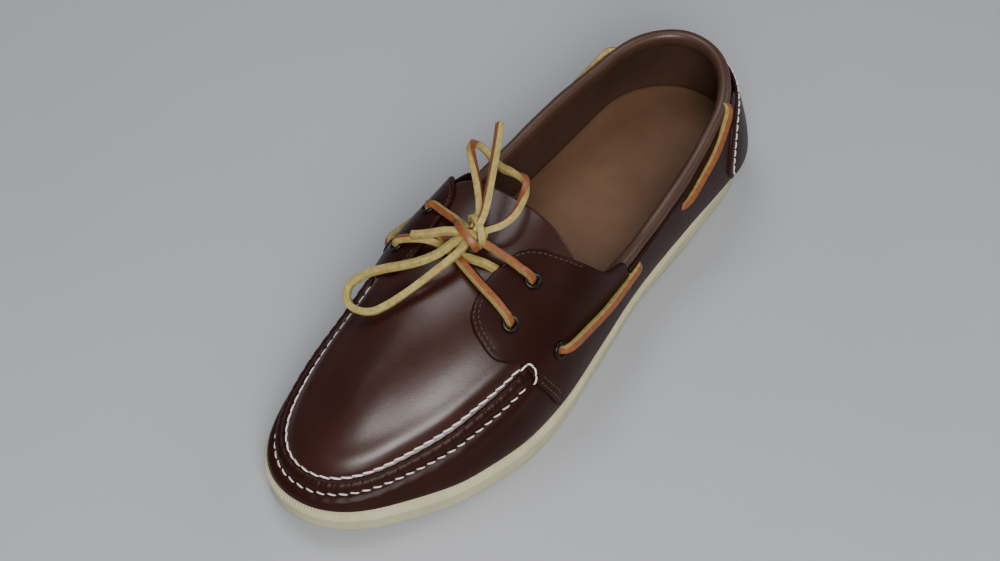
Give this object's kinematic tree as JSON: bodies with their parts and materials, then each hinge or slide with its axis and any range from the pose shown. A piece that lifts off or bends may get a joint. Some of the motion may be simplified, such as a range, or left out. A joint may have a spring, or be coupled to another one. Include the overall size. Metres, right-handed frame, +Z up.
{
  "type": "boat shoe",
  "caption": "Low leather moccasin with a raised toe seam, laced saddle flaps tied in a bow, side laces along the collar and a pale ribbed-edge rubber sole.",
  "frame": {"origin": "on the floor under the centre of the shoe's box, without the free bow", "axes": "+Z up, +Y towards the heel, -Y towards the toe, +X towards the outer (lateral) side of this left shoe"},
  "size_m": [0.1014, 0.3014, 0.1019],
  "materials": {
    "sole_rubber": "matt moulded rubber, cream, with a ribbed bevel round its top edge",
    "insole": "plain matt leather sock",
    "leather": "smooth waxed dark brown leather, semi-gloss, white and tonal stitching",
    "eyelet": "dark brown enamelled brass",
    "lace": "square-cut rawhide lace, one smooth tan face and rough yellow-tan sides"
  },
  "bodies": {
    "root": {"outsole": "sole_rubber", "insole": "insole", "upper": "leather", "tongue": "leather", "collar": "leather", "moc_lip": "leather", "heel_patch": "leather", "saddle_lateral": "leather", "saddle_medial": "leather", "eyelet_lateral_rear": "eyelet", "eyelet_lateral_front": "eyelet", "eyelet_lateral_side": "eyelet", "eyelet_medial_rear": "eyelet", "eyelet_medial_front": "eyelet", "eyelet_medial_side": "eyelet", "side_lace_lateral_front": "lace", "side_lace_lateral_rear": "lace", "side_lace_medial_front": "lace", "side_lace_medial_rear": "lace", "lace_crossing": "lace", "lace_tie_lateral": "lace", "lace_tie_medial": "lace", "lace_knot": "lace", "lace_loop_front": "lace", "lace_loop_rear": "lace", "lace_end_front": "lace", "lace_end_rear": "lace"}
  },
  "joints": []
}
